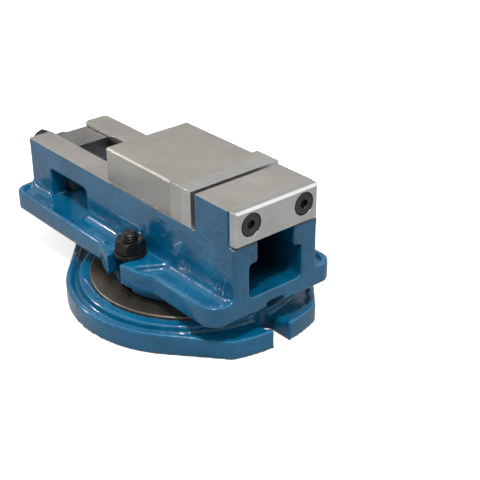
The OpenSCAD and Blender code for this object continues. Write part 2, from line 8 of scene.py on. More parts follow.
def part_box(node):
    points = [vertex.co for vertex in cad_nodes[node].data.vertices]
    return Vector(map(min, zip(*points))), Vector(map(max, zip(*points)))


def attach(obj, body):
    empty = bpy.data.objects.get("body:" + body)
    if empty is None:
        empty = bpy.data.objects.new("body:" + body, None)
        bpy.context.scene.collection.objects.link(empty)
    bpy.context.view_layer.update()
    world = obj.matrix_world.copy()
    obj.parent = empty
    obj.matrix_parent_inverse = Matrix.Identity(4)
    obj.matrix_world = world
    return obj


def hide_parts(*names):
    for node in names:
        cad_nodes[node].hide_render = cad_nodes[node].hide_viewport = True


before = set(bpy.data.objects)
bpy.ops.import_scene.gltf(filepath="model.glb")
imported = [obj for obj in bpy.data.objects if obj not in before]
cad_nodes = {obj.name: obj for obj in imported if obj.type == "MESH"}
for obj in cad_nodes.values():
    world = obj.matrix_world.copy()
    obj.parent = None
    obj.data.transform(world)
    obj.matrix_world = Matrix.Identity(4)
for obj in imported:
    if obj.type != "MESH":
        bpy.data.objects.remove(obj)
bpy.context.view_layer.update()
mm = 0.001


# ---------------------------------------------------------------------------
# Studio: a pale floor that runs out of sight, a soft sky a little greyer at the
# height that the ground tops mirror, two large soft lamps above and on the
# right, and two small ones that give the glints.
# ---------------------------------------------------------------------------

scene = bpy.context.scene
scene.view_settings.view_transform = "Standard"


def add(tree, kind, inputs=None, **settings):
    made = tree.nodes.new(kind)
    for name, value in settings.items():
        setattr(made, name, value)
    for name, value in (inputs or {}).items():
        if isinstance(value, bpy.types.NodeSocket):
            tree.links.new(value, made.inputs[name])
        else:
            made.inputs[name].default_value = value
    return made


def reckon(tree, operation, *values):
    made = add(tree, "ShaderNodeMath", dict(enumerate(values)), operation=operation)
    return made.outputs[0]


def rise(tree, value, start, end, low=0.0, high=1.0):
    made = add(
        tree,
        "ShaderNodeMapRange",
        {0: value, 1: start, 2: end, 3: low, 4: high},
        interpolation_type="SMOOTHSTEP",
    )
    return made.outputs[0]


def mingle(tree, factor, first, second, kind="MIX"):
    made = add(
        tree,
        "ShaderNodeMix",
        {0: factor, 6: first, 7: second},
        data_type="RGBA",
        blend_type=kind,
    )
    return made.outputs[2]


def finish_from(name):
    material = bpy.data.materials.new(name)
    material.use_nodes = True
    tree = material.node_tree
    return material, tree, tree.nodes["Principled BSDF"]


def shown(name, mesh):
    piece = bpy.data.objects.new(name, mesh)
    bpy.context.collection.objects.link(piece)
    return piece


studio_sky = bpy.data.worlds.new("studio sky")
studio_sky.use_nodes = True
scene.world = studio_sky
sky_tree = studio_sky.node_tree
sky_direction = add(sky_tree, "ShaderNodeTexCoord").outputs["Generated"]
sky_height = add(sky_tree, "ShaderNodeSeparateXYZ", {0: sky_direction}).outputs["Z"]
sky_level = rise(sky_tree, sky_height, 0.1, 0.8, 0.55, 1.0)
sky_shader = sky_tree.nodes["Background"]
sky_tree.links.new(sky_level, sky_shader.inputs["Color"])
sky_shader.inputs["Strength"].default_value = 0.7

floor_mesh = bpy.data.meshes.new("studio floor")
floor_reach = 4.0
floor_level = -0.2 * mm
floor_corners = ((-1, -1), (1, -1), (1, 1), (-1, 1))
floor_mesh.from_pydata(
    [(x * floor_reach, y * floor_reach, floor_level) for x, y in floor_corners],
    [],
    [(0, 1, 2, 3)],
)
studio_floor = shown("studio_floor", floor_mesh)
floor_finish, floor_tree, floor_shader = finish_from("pale floor")
floor_shader.inputs["Roughness"].default_value = 0.9
floor_shader.inputs["Specular IOR Level"].default_value = 0.1
floor_seen = add(floor_tree, "ShaderNodeLightPath").outputs["Is Camera Ray"]
floor_to_the_vise = (0.34, 0.34, 0.34, 1)
floor_to_the_eye = (0.93, 0.93, 0.93, 1)
floor_tree.links.new(
    mingle(floor_tree, floor_seen, floor_to_the_vise, floor_to_the_eye),
    floor_shader.inputs["Base Color"],
)
floor_shader.inputs["Emission Color"].default_value = (1, 1, 1, 1)
floor_tree.links.new(
    reckon(floor_tree, "MULTIPLY", floor_seen, 0.55), floor_shader.inputs["Emission Strength"]
)
floor_mesh.materials.append(floor_finish)


def soft_lamp(name, place, aim, size, power):
    lamp = bpy.data.lights.new(name, "AREA")
    lamp.shape = "SQUARE"
    lamp.size = size
    lamp.energy = power
    holder = bpy.data.objects.new(name, lamp)
    bpy.context.collection.objects.link(holder)
    holder.location = place
    holder.rotation_euler = (Vector(aim) - Vector(place)).to_track_quat("-Z", "Y").to_euler()


vise_middle = (-0.02, 0, 0.03)
soft_lamp("overhead lamp", (0.0, 0.0, 1.3), vise_middle, size=0.9, power=5)
soft_lamp("key lamp", (-0.62, -0.5, 0.34), vise_middle, size=0.08, power=1.8)
soft_lamp("right lamp", (0.55, 0.66, 0.8), (0, 0, 0.03), size=1.2, power=4)
soft_lamp("front lamp", (0.38, -0.32, 1.0), vise_middle, size=0.09, power=8)

camera_data = bpy.data.cameras.new("camera")
camera_data.sensor_width = 36
camera_data.lens = 84.606
camera_data.clip_start = 0.01
camera = bpy.data.objects.new("camera", camera_data)
bpy.context.collection.objects.link(camera)
camera.location = (0.3985, -0.3014, 0.2929)
camera_aim = Vector((-0.67569, 0.56802, -0.46990))
camera_roll = Quaternion((0, 0, 1), math.radians(-0.482))
camera.rotation_mode = "QUATERNION"
camera.rotation_quaternion = camera_aim.to_track_quat("-Z", "Y") @ camera_roll
scene.camera = camera


# ---------------------------------------------------------------------------
# Swivel base: one grey-iron sand casting with a raised rim, a sunk channel
# and two slotted ears. Brushed all over with thick gloss blue enamel; only
# the underside and the turning face are machined.
# ---------------------------------------------------------------------------


def merged_copy(node):
    mesh = cad_nodes[node].data.copy()
    mesh.materials.clear()
    shape = bmesh.new()
    shape.from_mesh(mesh)
    bmesh.ops.remove_doubles(shape, verts=shape.verts, dist=0.000002)
    shape.to_mesh(mesh)
    shape.free()
    return mesh


def baked_modifiers(piece):
    view_layer = bpy.context.evaluated_depsgraph_get()
    mesh = bpy.data.meshes.new_from_object(piece.evaluated_get(view_layer))
    piece.modifiers.clear()
    piece.vertex_groups.clear()
    old = piece.data
    piece.data = mesh
    bpy.data.meshes.remove(old)
    return mesh


def smooth_shaded(mesh, sharp_angle):
    mesh.polygons.foreach_set("use_smooth", [True] * len(mesh.polygons))
    mesh.set_sharp_from_angle(angle=math.radians(sharp_angle))


def cast_copy(node, name, grain, softness, most_triangles, passes):
    """A casting of the CAD node: its edges and corners flow together as softness(point) says."""
    piece = shown(name, merged_copy(node))
    remesh = piece.modifiers.new("skin", "REMESH")
    remesh.mode = "VOXEL"
    remesh.voxel_size = grain
    first = piece.modifiers.new("first pass", "SMOOTH")
    first.factor = 0.5
    first.iterations = 2
    mesh = baked_modifiers(piece)
    group = piece.vertex_groups.new(name="soft")
    levels = {}
    for vertex in mesh.vertices:
        level = round(softness(vertex.co), 1)
        if level > 0:
            levels.setdefault(level, []).append(vertex.index)
    for level, members in levels.items():
        group.add(members, level, "REPLACE")
    soften = piece.modifiers.new("second pass", "SMOOTH")
    soften.vertex_group = "soft"
    soften.factor = 0.5
    soften.iterations = passes
    thin = piece.modifiers.new("thin", "DECIMATE")
    thin.ratio = min(1.0, most_triangles / (2 * len(mesh.polygons)))
    mesh = baked_modifiers(piece)
    smooth_shaded(mesh, 50)
    return piece


def shader_group(name, inputs, outputs):
    group = bpy.data.node_groups.new(name, "ShaderNodeTree")
    for label, kind, value in inputs:
        socket = group.interface.new_socket(name=label, in_out="INPUT", socket_type=kind)
        socket.default_value = value
    for label, kind in outputs:
        group.interface.new_socket(name=label, in_out="OUTPUT", socket_type=kind)
    start = group.nodes.new("NodeGroupInput")
    end = group.nodes.new("NodeGroupOutput")
    return group, start.outputs, end.inputs


def placed(tree, group, **values):
    made = add(tree, "ShaderNodeGroup", node_tree=group)
    for label, value in values.items():
        socket = made.inputs[label.replace("_", " ")]
        if isinstance(value, bpy.types.NodeSocket):
            tree.links.new(value, socket)
        else:
            socket.default_value = value
    return made.outputs


def noise_of(tree, vector, scale, detail=2.0, roughness=0.5, distortion=0.0):
    made = add(
        tree,
        "ShaderNodeTexNoise",
        {"Vector": vector, "Scale": scale, "Detail": detail, "Roughness": roughness,
         "Distortion": distortion},
    )
    return made.outputs[0]


# Brushed enamel over cast iron: orange peel, slow brush sags, and sand grains under the paint
cast_skin, given, result = shader_group(
    "Cast skin",
    [("Grain", "NodeSocketFloat", 900.0), ("Sand", "NodeSocketFloat", 0.5)],
    [("Height", "NodeSocketFloat"), ("Shade", "NodeSocketFloat"), ("Specks", "NodeSocketFloat")],
)
spot = add(cast_skin, "ShaderNodeTexCoord").outputs["Object"]
peel = noise_of(cast_skin, spot, given["Grain"], 0.0)
sag = noise_of(cast_skin, spot, 110.0, 2.0)
sand = noise_of(cast_skin, spot, 1700.0, 3.0, 0.6)
sandy = rise(cast_skin, noise_of(cast_skin, spot, 60.0, 2.0), 0.45, 0.62)
sand_patch = reckon(cast_skin, "MULTIPLY", sand, sandy)
sand_here = reckon(cast_skin, "MULTIPLY", sand_patch, given["Sand"])
peel_depth = reckon(cast_skin, "MULTIPLY_ADD", sandy, 1.5, 0.4)
peel_part = reckon(cast_skin, "MULTIPLY", peel, peel_depth)
peel_height = reckon(cast_skin, "MULTIPLY_ADD", sag, 0.9, peel_part)
cast_skin.links.new(reckon(cast_skin, "ADD", peel_height, sand_here), result["Height"])
cast_skin.links.new(noise_of(cast_skin, spot, 38.0, 4.0, 0.6), result["Shade"])
speck_noise = noise_of(cast_skin, spot, 420.0, 2.0, 0.4)
cast_skin.links.new(rise(cast_skin, speck_noise, 0.76, 0.79), result["Specks"])

# Edges rubbed bright, and a mask of the hollows where the enamel gets painted shade
rubbed, given, result = shader_group(
    "Rubbed edges and hollow shade",
    [("Patch size", "NodeSocketFloat", 90.0), ("Amount", "NodeSocketFloat", 0.5)],
    [("Worn", "NodeSocketFloat"), ("Painted hollow shade", "NodeSocketFloat")],
)
edge_feel = add(rubbed, "ShaderNodeNewGeometry").outputs["Pointiness"]
spot = add(rubbed, "ShaderNodeTexCoord").outputs["Object"]
patches = noise_of(rubbed, spot, given["Patch size"], 4.0, 0.7)
edge_level = rise(rubbed, edge_feel, 0.53, 0.62)
bared = reckon(rubbed, "MULTIPLY_ADD", given["Amount"], 0.15, patches)
keep = rise(rubbed, bared, 0.68, 0.76)
rubbed.links.new(reckon(rubbed, "MULTIPLY", edge_level, keep), result["Worn"])
# The hollow mask marks concave places; the enamel is darkened there as painted shade
rubbed.links.new(rise(rubbed, edge_feel, 0.49, 0.42), result["Painted hollow shade"])

# Surface grinding: fine parallel lines, and slow clouding from coolant and oil
grinding, given, result = shader_group(
    "Grinding",
    [
        ("Stretch", "NodeSocketVector", (60.0, 6000.0, 6000.0)),
        ("Cloud size", "NodeSocketFloat", 45.0),
    ],
    [("Lines", "NodeSocketFloat"), ("Cloud", "NodeSocketFloat"), ("Marks", "NodeSocketFloat")],
)
spot = add(grinding, "ShaderNodeTexCoord").outputs["Object"]
drawn_out = add(
    grinding, "ShaderNodeVectorMath", {0: spot, 1: given["Stretch"]}, operation="MULTIPLY"
).outputs[0]
fine_lines = noise_of(grinding, drawn_out, 1.0, 3.0, 0.7)
broad_lines = noise_of(grinding, drawn_out, 0.22, 2.0, 0.6)
half_fine = reckon(grinding, "MULTIPLY", fine_lines, 0.5)
both_lines = reckon(grinding, "MULTIPLY_ADD", broad_lines, 0.5, half_fine)
grinding.links.new(both_lines, result["Lines"])
grinding.links.new(noise_of(grinding, spot, given["Cloud size"], 5.0, 0.62), result["Cloud"])
mark_noise = noise_of(grinding, spot, 260.0, 3.0, 0.5)
grinding.links.new(rise(grinding, mark_noise, 0.70, 0.76), result["Marks"])

enamel_deep = (0.0, 0.076, 0.165, 1)
enamel_pale = (0.0, 0.108, 0.225, 1)
# Painted shade: a near-black copy of the blue, laid into concave creases
enamel_painted_hollow_shade = (0.001, 0.025, 0.055, 1)
primer_brown = (0.075, 0.035, 0.02, 1)
bare_iron = (0.55, 0.525, 0.485, 1)
oily_iron = (0.45, 0.425, 0.385, 1)
bright_iron = (0.6, 0.57, 0.53, 1)
stained_iron = (0.12, 0.1, 0.085, 1)
# Painted shade: near black laid on the inside of the screw channel
channel_painted_shade = (0.004, 0.006, 0.007, 1)


def enamel(name, machined=None, channel_shade=None):
    """Blue enamel; the two masks give the bare iron faces and the inside of the screw channel,
    where shade is painted in.
    """
    material, tree, shader = finish_from(name)
    skin = placed(tree, cast_skin, Grain=520.0, Sand=0.3)
    wear = placed(tree, rubbed, Patch_size=140.0, Amount=0.1)
    coat = mingle(tree, rise(tree, skin["Shade"], 0.35, 0.65), enamel_deep, enamel_pale)
    # Painted shade: the enamel goes near-black blue in the hollows
    coat = mingle(tree, reckon(tree, "MULTIPLY", wear["Painted hollow shade"], 0.7), coat, enamel_painted_hollow_shade)
    chipped = reckon(tree, "MAXIMUM", reckon(tree, "MULTIPLY", wear["Worn"], 0.8), skin["Specks"])
    coat = mingle(tree, reckon(tree, "MULTIPLY", chipped, 0.75), coat, primer_brown)
    paint_gloss = rise(tree, skin["Shade"], 0.3, 0.7, 0.2, 0.28)
    gloss = reckon(tree, "MULTIPLY_ADD", chipped, 0.35, paint_gloss)
    height = skin["Height"]
    if machined:
        places = add(tree, "ShaderNodeTexCoord").outputs
        cut = machined(tree, places["Object"], places["Normal"])
        lines = placed(tree, grinding, Stretch=(70.0, 4200.0, 4200.0))
        metal = mingle(tree, rise(tree, lines["Cloud"], 0.35, 0.68), bare_iron, oily_iron)
        metal = mingle(tree, reckon(tree, "MULTIPLY", lines["Lines"], 0.5), metal, bright_iron)
        metal = mingle(tree, reckon(tree, "MULTIPLY", lines["Marks"], 0.45), metal, stained_iron)
        coat = mingle(tree, cut, coat, metal)
        if channel_shade:
            # Painted shade: the screw channel's inside is darkened towards black
            channel_darkening = reckon(tree, "MULTIPLY", channel_shade(tree, places["Object"]), 0.86)
            coat = mingle(tree, channel_darkening, coat, channel_painted_shade)
        metal_gloss = rise(tree, lines["Lines"], 0.3, 0.7, 0.36, 0.5)
        gloss = add(
            tree, "ShaderNodeMix", {0: cut, 2: gloss, 3: metal_gloss}, data_type="FLOAT"
        ).outputs[0]
        height = add(
            tree,
            "ShaderNodeMix",
            {0: cut, 2: height, 3: reckon(tree, "MULTIPLY", lines["Lines"], 0.06)},
            data_type="FLOAT",
        ).outputs[0]
        tree.links.new(cut, shader.inputs["Metallic"])
        tree.links.new(reckon(tree, "MULTIPLY_ADD", cut, -0.7, 0.7), shader.inputs["Coat Weight"])
    else:
        shader.inputs["Coat Weight"].default_value = 0.7
    tree.links.new(coat, shader.inputs["Base Color"])
    tree.links.new(gloss, shader.inputs["Roughness"])
    bump = add(tree, "ShaderNodeBump", {"Strength": 0.8, "Distance": 0.0003, "Height": height})
    tree.links.new(bump.outputs[0], shader.inputs["Normal"])
    shader.inputs["Coat Roughness"].default_value = 0.04
    shader.inputs["Specular IOR Level"].default_value = 0.3
    return material


def parted(tree, vector):
    made = add(tree, "ShaderNodeSeparateXYZ", {0: vector})
    return made.outputs


turned_seat_radius = 50.6 * mm
turned_seat_floor = 9 * mm
machined_sole = 0.9 * mm


def base_machined(tree, point, normal):
    height = parted(tree, point)["Z"]
    return rise(tree, height, 0.7 * mm, 0.4 * mm)


def base_softness(point):
    across = math.hypot(point.x, point.y)
    in_seat = across < turned_seat_radius and point.z > turned_seat_floor
    if point.z < machined_sole or in_seat:
        return 0.0
    return 1.0


cast_grain = 0.7 * mm
base_casting = cast_copy("swivel_base", "base_casting", cast_grain, base_softness, 150000, 16)
base_casting.data.materials.append(enamel("blue enamel on the base", base_machined))
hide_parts("swivel_base")
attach(base_casting, "base")


# ---------------------------------------------------------------------------
# Degree ring: a turned steel ring pressed into the base, browned by oil, with
# a bright chamfer at its rim and stamped graduations counted from one zero.
# ---------------------------------------------------------------------------


def eased_copy(node, name, ease, sharp_angle=32, steps=2):
    """A machined copy of the CAD node: its edges are broken by a small rounded bevel."""
    piece = shown(name, merged_copy(node))
    shape = bmesh.new()
    shape.from_mesh(piece.data)
    bmesh.ops.dissolve_limit(
        shape,
        angle_limit=math.radians(0.4),
        use_dissolve_boundaries=False,
        verts=shape.verts,
        edges=shape.edges,
    )
    shape.to_mesh(piece.data)
    shape.free()
    smooth_shaded(piece.data, sharp_angle)
    bevel = piece.modifiers.new("ease", "BEVEL")
    bevel.width = ease
    bevel.segments = steps
    bevel.limit_method = "ANGLE"
    bevel.angle_limit = math.radians(sharp_angle)
    bevel.harden_normals = True
    bevel.use_clamp_overlap = True
    baked_modifiers(piece)
    return piece


def steel(
    name, pale, dark, stretch, low_gloss, high_gloss, marks=0.4, around=False, streaks=0.35
):
    """Bare steel with its grinding or turning lines; around=True makes the lines run round Z."""
    line_depth = 0.02 * mm
    bright = [min(1, level * 1.3) for level in pale[:3]] + [1]
    stained = [level * 0.3 for level in dark[:3]] + [1]
    material, tree, shader = finish_from(name)
    lines = placed(tree, grinding, Stretch=stretch)
    streak = lines["Lines"]
    if around:
        place = parted(tree, add(tree, "ShaderNodeTexCoord").outputs["Object"])
        y_square = reckon(tree, "MULTIPLY", place["Y"], place["Y"])
        square = reckon(tree, "MULTIPLY_ADD", place["X"], place["X"], y_square)
        radius = reckon(tree, "SQRT", square)
        ring_spot = add(tree, "ShaderNodeCombineXYZ", {0: radius, 1: place["Z"]}).outputs[0]
        streak = noise_of(tree, ring_spot, 5200.0, 3.0, 0.7)
    tone = mingle(tree, rise(tree, lines["Cloud"], 0.33, 0.68), pale, dark)
    tone = mingle(tree, rise(tree, streak, 0.3, 0.75, 0.0, streaks), tone, bright)
    tone = mingle(tree, reckon(tree, "MULTIPLY", lines["Marks"], marks), tone, stained)
    tree.links.new(tone, shader.inputs["Base Color"])
    tree.links.new(rise(tree, streak, 0.3, 0.7, low_gloss, high_gloss), shader.inputs["Roughness"])
    bump = add(tree, "ShaderNodeBump", {"Strength": 0.5, "Distance": line_depth, "Height": streak})
    tree.links.new(bump.outputs[0], shader.inputs["Normal"])
    shader.inputs["Metallic"].default_value = 1.0
    return material


degree_ring = eased_copy("degree_ring", "degree_ring_turned", 0.15 * mm)
degree_ring.data.materials.append(
    steel("oil-browned steel", (0.2, 0.175, 0.14, 1), (0.12, 0.1, 0.078, 1),
          (300, 300, 300), 0.38, 0.55, marks=0.7, around=True)
)
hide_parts("degree_ring")
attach(degree_ring, "base")

ink_finish, ink_tree, ink_shader = finish_from("stamped mark")
ink_spot = add(ink_tree, "ShaderNodeTexCoord").outputs["Object"]
ink_patch = rise(ink_tree, noise_of(ink_tree, ink_spot, 900.0, 3.0, 0.6), 0.4, 0.7)
ink_full = (0.02, 0.014, 0.01, 1)
ink_rubbed = (0.09, 0.07, 0.055, 1)
ink_tree.links.new(
    mingle(ink_tree, ink_patch, ink_full, ink_rubbed), ink_shader.inputs["Base Color"]
)
ink_shader.inputs["Roughness"].default_value = 0.7

# Marks on a circle: each is a thin bar pointing at the axis
dial_marks = bpy.data.node_groups.new("Dial marks", "GeometryNodeTree")
for label, kind in (
    ("Count", "NodeSocketInt"),
    ("Radius", "NodeSocketFloat"),
    ("Length", "NodeSocketFloat"),
    ("Width", "NodeSocketFloat"),
    ("Height", "NodeSocketFloat"),
    ("Turn", "NodeSocketFloat"),
    ("Material", "NodeSocketMaterial"),
):
    dial_marks.interface.new_socket(name=label, in_out="INPUT", socket_type=kind)
dial_marks.interface.new_socket(
    name="Geometry", in_out="OUTPUT", socket_type="NodeSocketGeometry"
)
asked = dial_marks.nodes.new("NodeGroupInput").outputs
circle = add(
    dial_marks, "GeometryNodeMeshCircle", {"Vertices": asked["Count"], "Radius": asked["Radius"]}
)
bar_depth = 0.06 * mm
bar_size = add(
    dial_marks, "ShaderNodeCombineXYZ", {0: asked["Length"], 1: asked["Width"], 2: bar_depth}
)
bar = add(dial_marks, "GeometryNodeMeshCube", {"Size": bar_size.outputs[0]})
facing = add(
    dial_marks,
    "FunctionNodeAlignRotationToVector",
    {"Vector": add(dial_marks, "GeometryNodeInputPosition").outputs[0]},
    axis="X",
)
bars = add(
    dial_marks,
    "GeometryNodeInstanceOnPoints",
    {"Points": circle.outputs[0], "Instance": bar.outputs[0], "Rotation": facing.outputs[0]},
)
lift = add(dial_marks, "ShaderNodeCombineXYZ", {2: asked["Height"]})
swing = add(dial_marks, "ShaderNodeCombineXYZ", {2: asked["Turn"]})
in_place = add(
    dial_marks,
    "GeometryNodeTransform",
    {"Geometry": bars.outputs[0], "Translation": lift.outputs[0], "Rotation": swing.outputs[0]},
)
real_bars = add(dial_marks, "GeometryNodeRealizeInstances", {0: in_place.outputs[0]})
marked = add(
    dial_marks,
    "GeometryNodeSetMaterial",
    {"Geometry": real_bars.outputs[0], "Material": asked["Material"]},
)
dial_marks.links.new(marked.outputs[0], dial_marks.nodes.new("NodeGroupOutput").inputs[0])


def from_tree(name, tree, values):
    """A piece made by a geometry tree, turned into a plain mesh."""
    piece = shown(name, bpy.data.meshes.new(name))
    maker = piece.modifiers.new("maker", "NODES")
    maker.node_group = tree
    for item in tree.interface.items_tree:
        if item.in_out == "INPUT" and item.name in values:
            maker[item.identifier] = values[item.name]
    baked_modifiers(piece)
    return piece


ring_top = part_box("degree_ring")[1][2]
dial_zero = math.radians(-73.6)
mark_rows = (
    ("degree_marks", 360, 39.35, 1.5, 0.16),
    ("five_degree_marks", 72, 39.9, 2.6, 0.24),
    ("ten_degree_marks", 36, 40.4, 3.6, 0.28),
)
for row_name, count, radius, length, width in mark_rows:
    marks = from_tree(
        row_name,
        dial_marks,
        {"Count": count, "Radius": radius * mm, "Length": length * mm, "Width": width * mm,
         "Height": ring_top, "Turn": dial_zero, "Material": ink_finish},
    )
    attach(marks, "base")

numeral_step = 30
numeral_count = 12
numeral_radius = 46.6 * mm
numeral_height = 3.1 * mm
numeral_shape = bmesh.new()
for step in range(numeral_count):
    degrees = min(step, numeral_count - step) * numeral_step
    if degrees > 90:
        degrees = 180 - degrees
    writing = bpy.data.curves.new("numeral", "FONT")
    writing.body = str(degrees)
    writing.size = numeral_height
    writing.extrude = 0.03 * mm
    writing.resolution_u = 3
    writing.align_x = "CENTER"
    writing.align_y = "CENTER"
    carrier = shown("numeral", writing)
    view_layer = bpy.context.evaluated_depsgraph_get()
    mesh = bpy.data.meshes.new_from_object(carrier.evaluated_get(view_layer))
    angle = dial_zero + math.radians(numeral_step * step)
    numeral_x = numeral_radius * math.cos(angle)
    numeral_y = numeral_radius * math.sin(angle)
    mesh.transform(
        Matrix.Translation((numeral_x, numeral_y, ring_top))
        @ Matrix.Rotation(angle + math.pi / 2, 4, "Z")
    )
    numeral_shape.from_mesh(mesh)
    bpy.data.objects.remove(carrier)
    bpy.data.meshes.remove(mesh)
numeral_mesh = bpy.data.meshes.new("dial_numerals")
numeral_shape.to_mesh(numeral_mesh)
numeral_shape.free()
numeral_mesh.materials.append(ink_finish)
numerals = shown("dial_numerals", numeral_mesh)
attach(numerals, "base")


# ---------------------------------------------------------------------------
# Centre pin: a turned steel pin pressed into the base, which the body turns on.
# It is plain steel, turned all over, and hidden once the body is on it.
# ---------------------------------------------------------------------------

turned_steel = steel(
    "turned steel", (0.5, 0.5, 0.5, 1), (0.36, 0.355, 0.35, 1), (900, 900, 900), 0.22, 0.38
)


def machined_piece(node, body, material, ease):
    piece = eased_copy(node, node + "_finished", ease)
    piece.data.materials.append(material)
    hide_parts(node)
    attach(piece, body)
    return piece


machined_piece("centre_pin", "base", turned_steel, 0.2 * mm)


# ---------------------------------------------------------------------------
# Vise body: the main iron casting, with rails, fixed jaw and two trayed wings.
# The rails, the slot between them, the jaw's top and its gripping face are
# ground; everything else is under the same blue enamel.
# ---------------------------------------------------------------------------

rail_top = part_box("moving_jaw")[0][2]
jaw_face = 38.3 * mm
rail_inner = 10.9 * mm
channel_lip = 48.2 * mm


def body_machined(tree, point, normal):
    place = parted(tree, point)
    way = parted(tree, normal)
    up = rise(tree, way["Z"], 0.75, 0.9)
    high = rise(tree, place["Z"], rail_top - 0.7 * mm, rail_top - 0.5 * mm)
    tops = reckon(tree, "MULTIPLY", high, up)
    off_middle = reckon(tree, "ABSOLUTE", place["Y"])
    between_rails = rise(tree, off_middle, rail_inner + 0.5 * mm, rail_inner + 0.4 * mm)
    above_lip = rise(tree, place["Z"], channel_lip, channel_lip + 0.4 * mm)
    in_slot = reckon(tree, "MULTIPLY", between_rails, above_lip)
    behind_jaw = rise(tree, place["X"], jaw_face + 0.2 * mm, jaw_face + 0.1 * mm)
    slot_sides = reckon(tree, "MULTIPLY", in_slot, behind_jaw)
    above_rails = rise(tree, place["Z"], rail_top + 0.2 * mm, rail_top + 0.5 * mm)
    gripping = reckon(tree, "MULTIPLY", above_rails, behind_jaw)
    under = rise(tree, place["Z"], 20.7 * mm, 20.5 * mm)
    turning = reckon(tree, "MULTIPLY", under, rise(tree, way["Z"], -0.7, -0.9))
    cut = reckon(tree, "MAXIMUM", tops, slot_sides)
    cut = reckon(tree, "MAXIMUM", cut, gripping)
    return reckon(tree, "MAXIMUM", cut, turning)


def body_grimy(tree, point):
    """The screw channel: painted shade, near black and darker the further in from its mouth."""
    place = parted(tree, point)
    inside = rise(tree, reckon(tree, "ABSOLUTE", place["Y"]), 16.6 * mm, 15.6 * mm)
    inside = reckon(tree, "MULTIPLY", inside, rise(tree, place["Z"], 28.2 * mm, 28.8 * mm))
    below_top = rise(tree, place["Z"], rail_top - 1.2 * mm, rail_top - 5 * mm)
    inside = reckon(tree, "MULTIPLY", inside, below_top)
    further_in = rise(tree, place["X"], 64 * mm, 40 * mm, 0.25, 1.0)
    return reckon(tree, "MULTIPLY", inside, further_in)


def body_softness(point):
    if point.z > rail_top - 3 * mm:
        return 0.0
    if point.z < 20.9 * mm:
        return 0.25
    if abs(point.y) < 17 * mm:
        return 0.35
    return 1.0


body_casting = cast_copy("vise_body", "body_casting", cast_grain, body_softness, 195000, 11)
body_casting.data.materials.append(enamel("blue enamel on the body", body_machined, body_grimy))
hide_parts("vise_body")
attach(body_casting, "body")


# ---------------------------------------------------------------------------
# Fixed jaw plate: hardened steel let into the outer face of the fixed jaw and
# held by two countersunk socket screws. Ground along its length, with bright
# chamfers on its upper and end edges.
# ---------------------------------------------------------------------------

plate_steel = steel(
    "ground plate steel", (0.6, 0.6, 0.585, 1), (0.5, 0.5, 0.485, 1), (5200, 130, 5200), 0.3, 0.42
)
machined_piece("fixed_jaw_plate", "body", plate_steel, 0.18 * mm)

oxide_finish, oxide_tree, oxide_shader = finish_from("black oxide")
oxide_spot = add(oxide_tree, "ShaderNodeTexCoord").outputs["Object"]
oxide_cloud = noise_of(oxide_tree, oxide_spot, 190.0, 4.0, 0.6)
oxide_grain = noise_of(oxide_tree, oxide_spot, 2600.0, 2.0, 0.5)
oxide_wear = placed(oxide_tree, rubbed, Patch_size=400.0, Amount=0.5)
oxide_deep = (0.014, 0.014, 0.015, 1)
oxide_dry = (0.036, 0.033, 0.03, 1)
oxide_rubbed = (0.2, 0.19, 0.18, 1)
oxide_clouding = rise(oxide_tree, oxide_cloud, 0.35, 0.68)
oxide_tone = mingle(oxide_tree, oxide_clouding, oxide_deep, oxide_dry)
oxide_worn = reckon(oxide_tree, "MULTIPLY", oxide_wear["Worn"], 0.22)
oxide_tone = mingle(oxide_tree, oxide_worn, oxide_tone, oxide_rubbed)
oxide_tree.links.new(oxide_tone, oxide_shader.inputs["Base Color"])
oxide_gloss = rise(oxide_tree, oxide_grain, 0.3, 0.7, 0.26, 0.42)
oxide_tree.links.new(oxide_gloss, oxide_shader.inputs["Roughness"])
oxide_bump = add(
    oxide_tree, "ShaderNodeBump", {"Strength": 0.3, "Distance": 0.03 * mm, "Height": oxide_grain}
)
oxide_tree.links.new(oxide_bump.outputs[0], oxide_shader.inputs["Normal"])
oxide_shader.inputs["Metallic"].default_value = 0.65

screw_grey = steel(
    "grey phosphate", (0.085, 0.085, 0.088, 1), (0.055, 0.055, 0.057, 1), (2600, 2600, 2600),
    0.3, 0.45,
)
machined_piece("fixed_plate_screws", "body", screw_grey, 0.16 * mm)


# ---------------------------------------------------------------------------
# Clamp bolts: two T-headed bolts whose heads run in the base's round slot,
# each with a flat washer and a hexagon nut. Black oxide, oily from use.
# ---------------------------------------------------------------------------


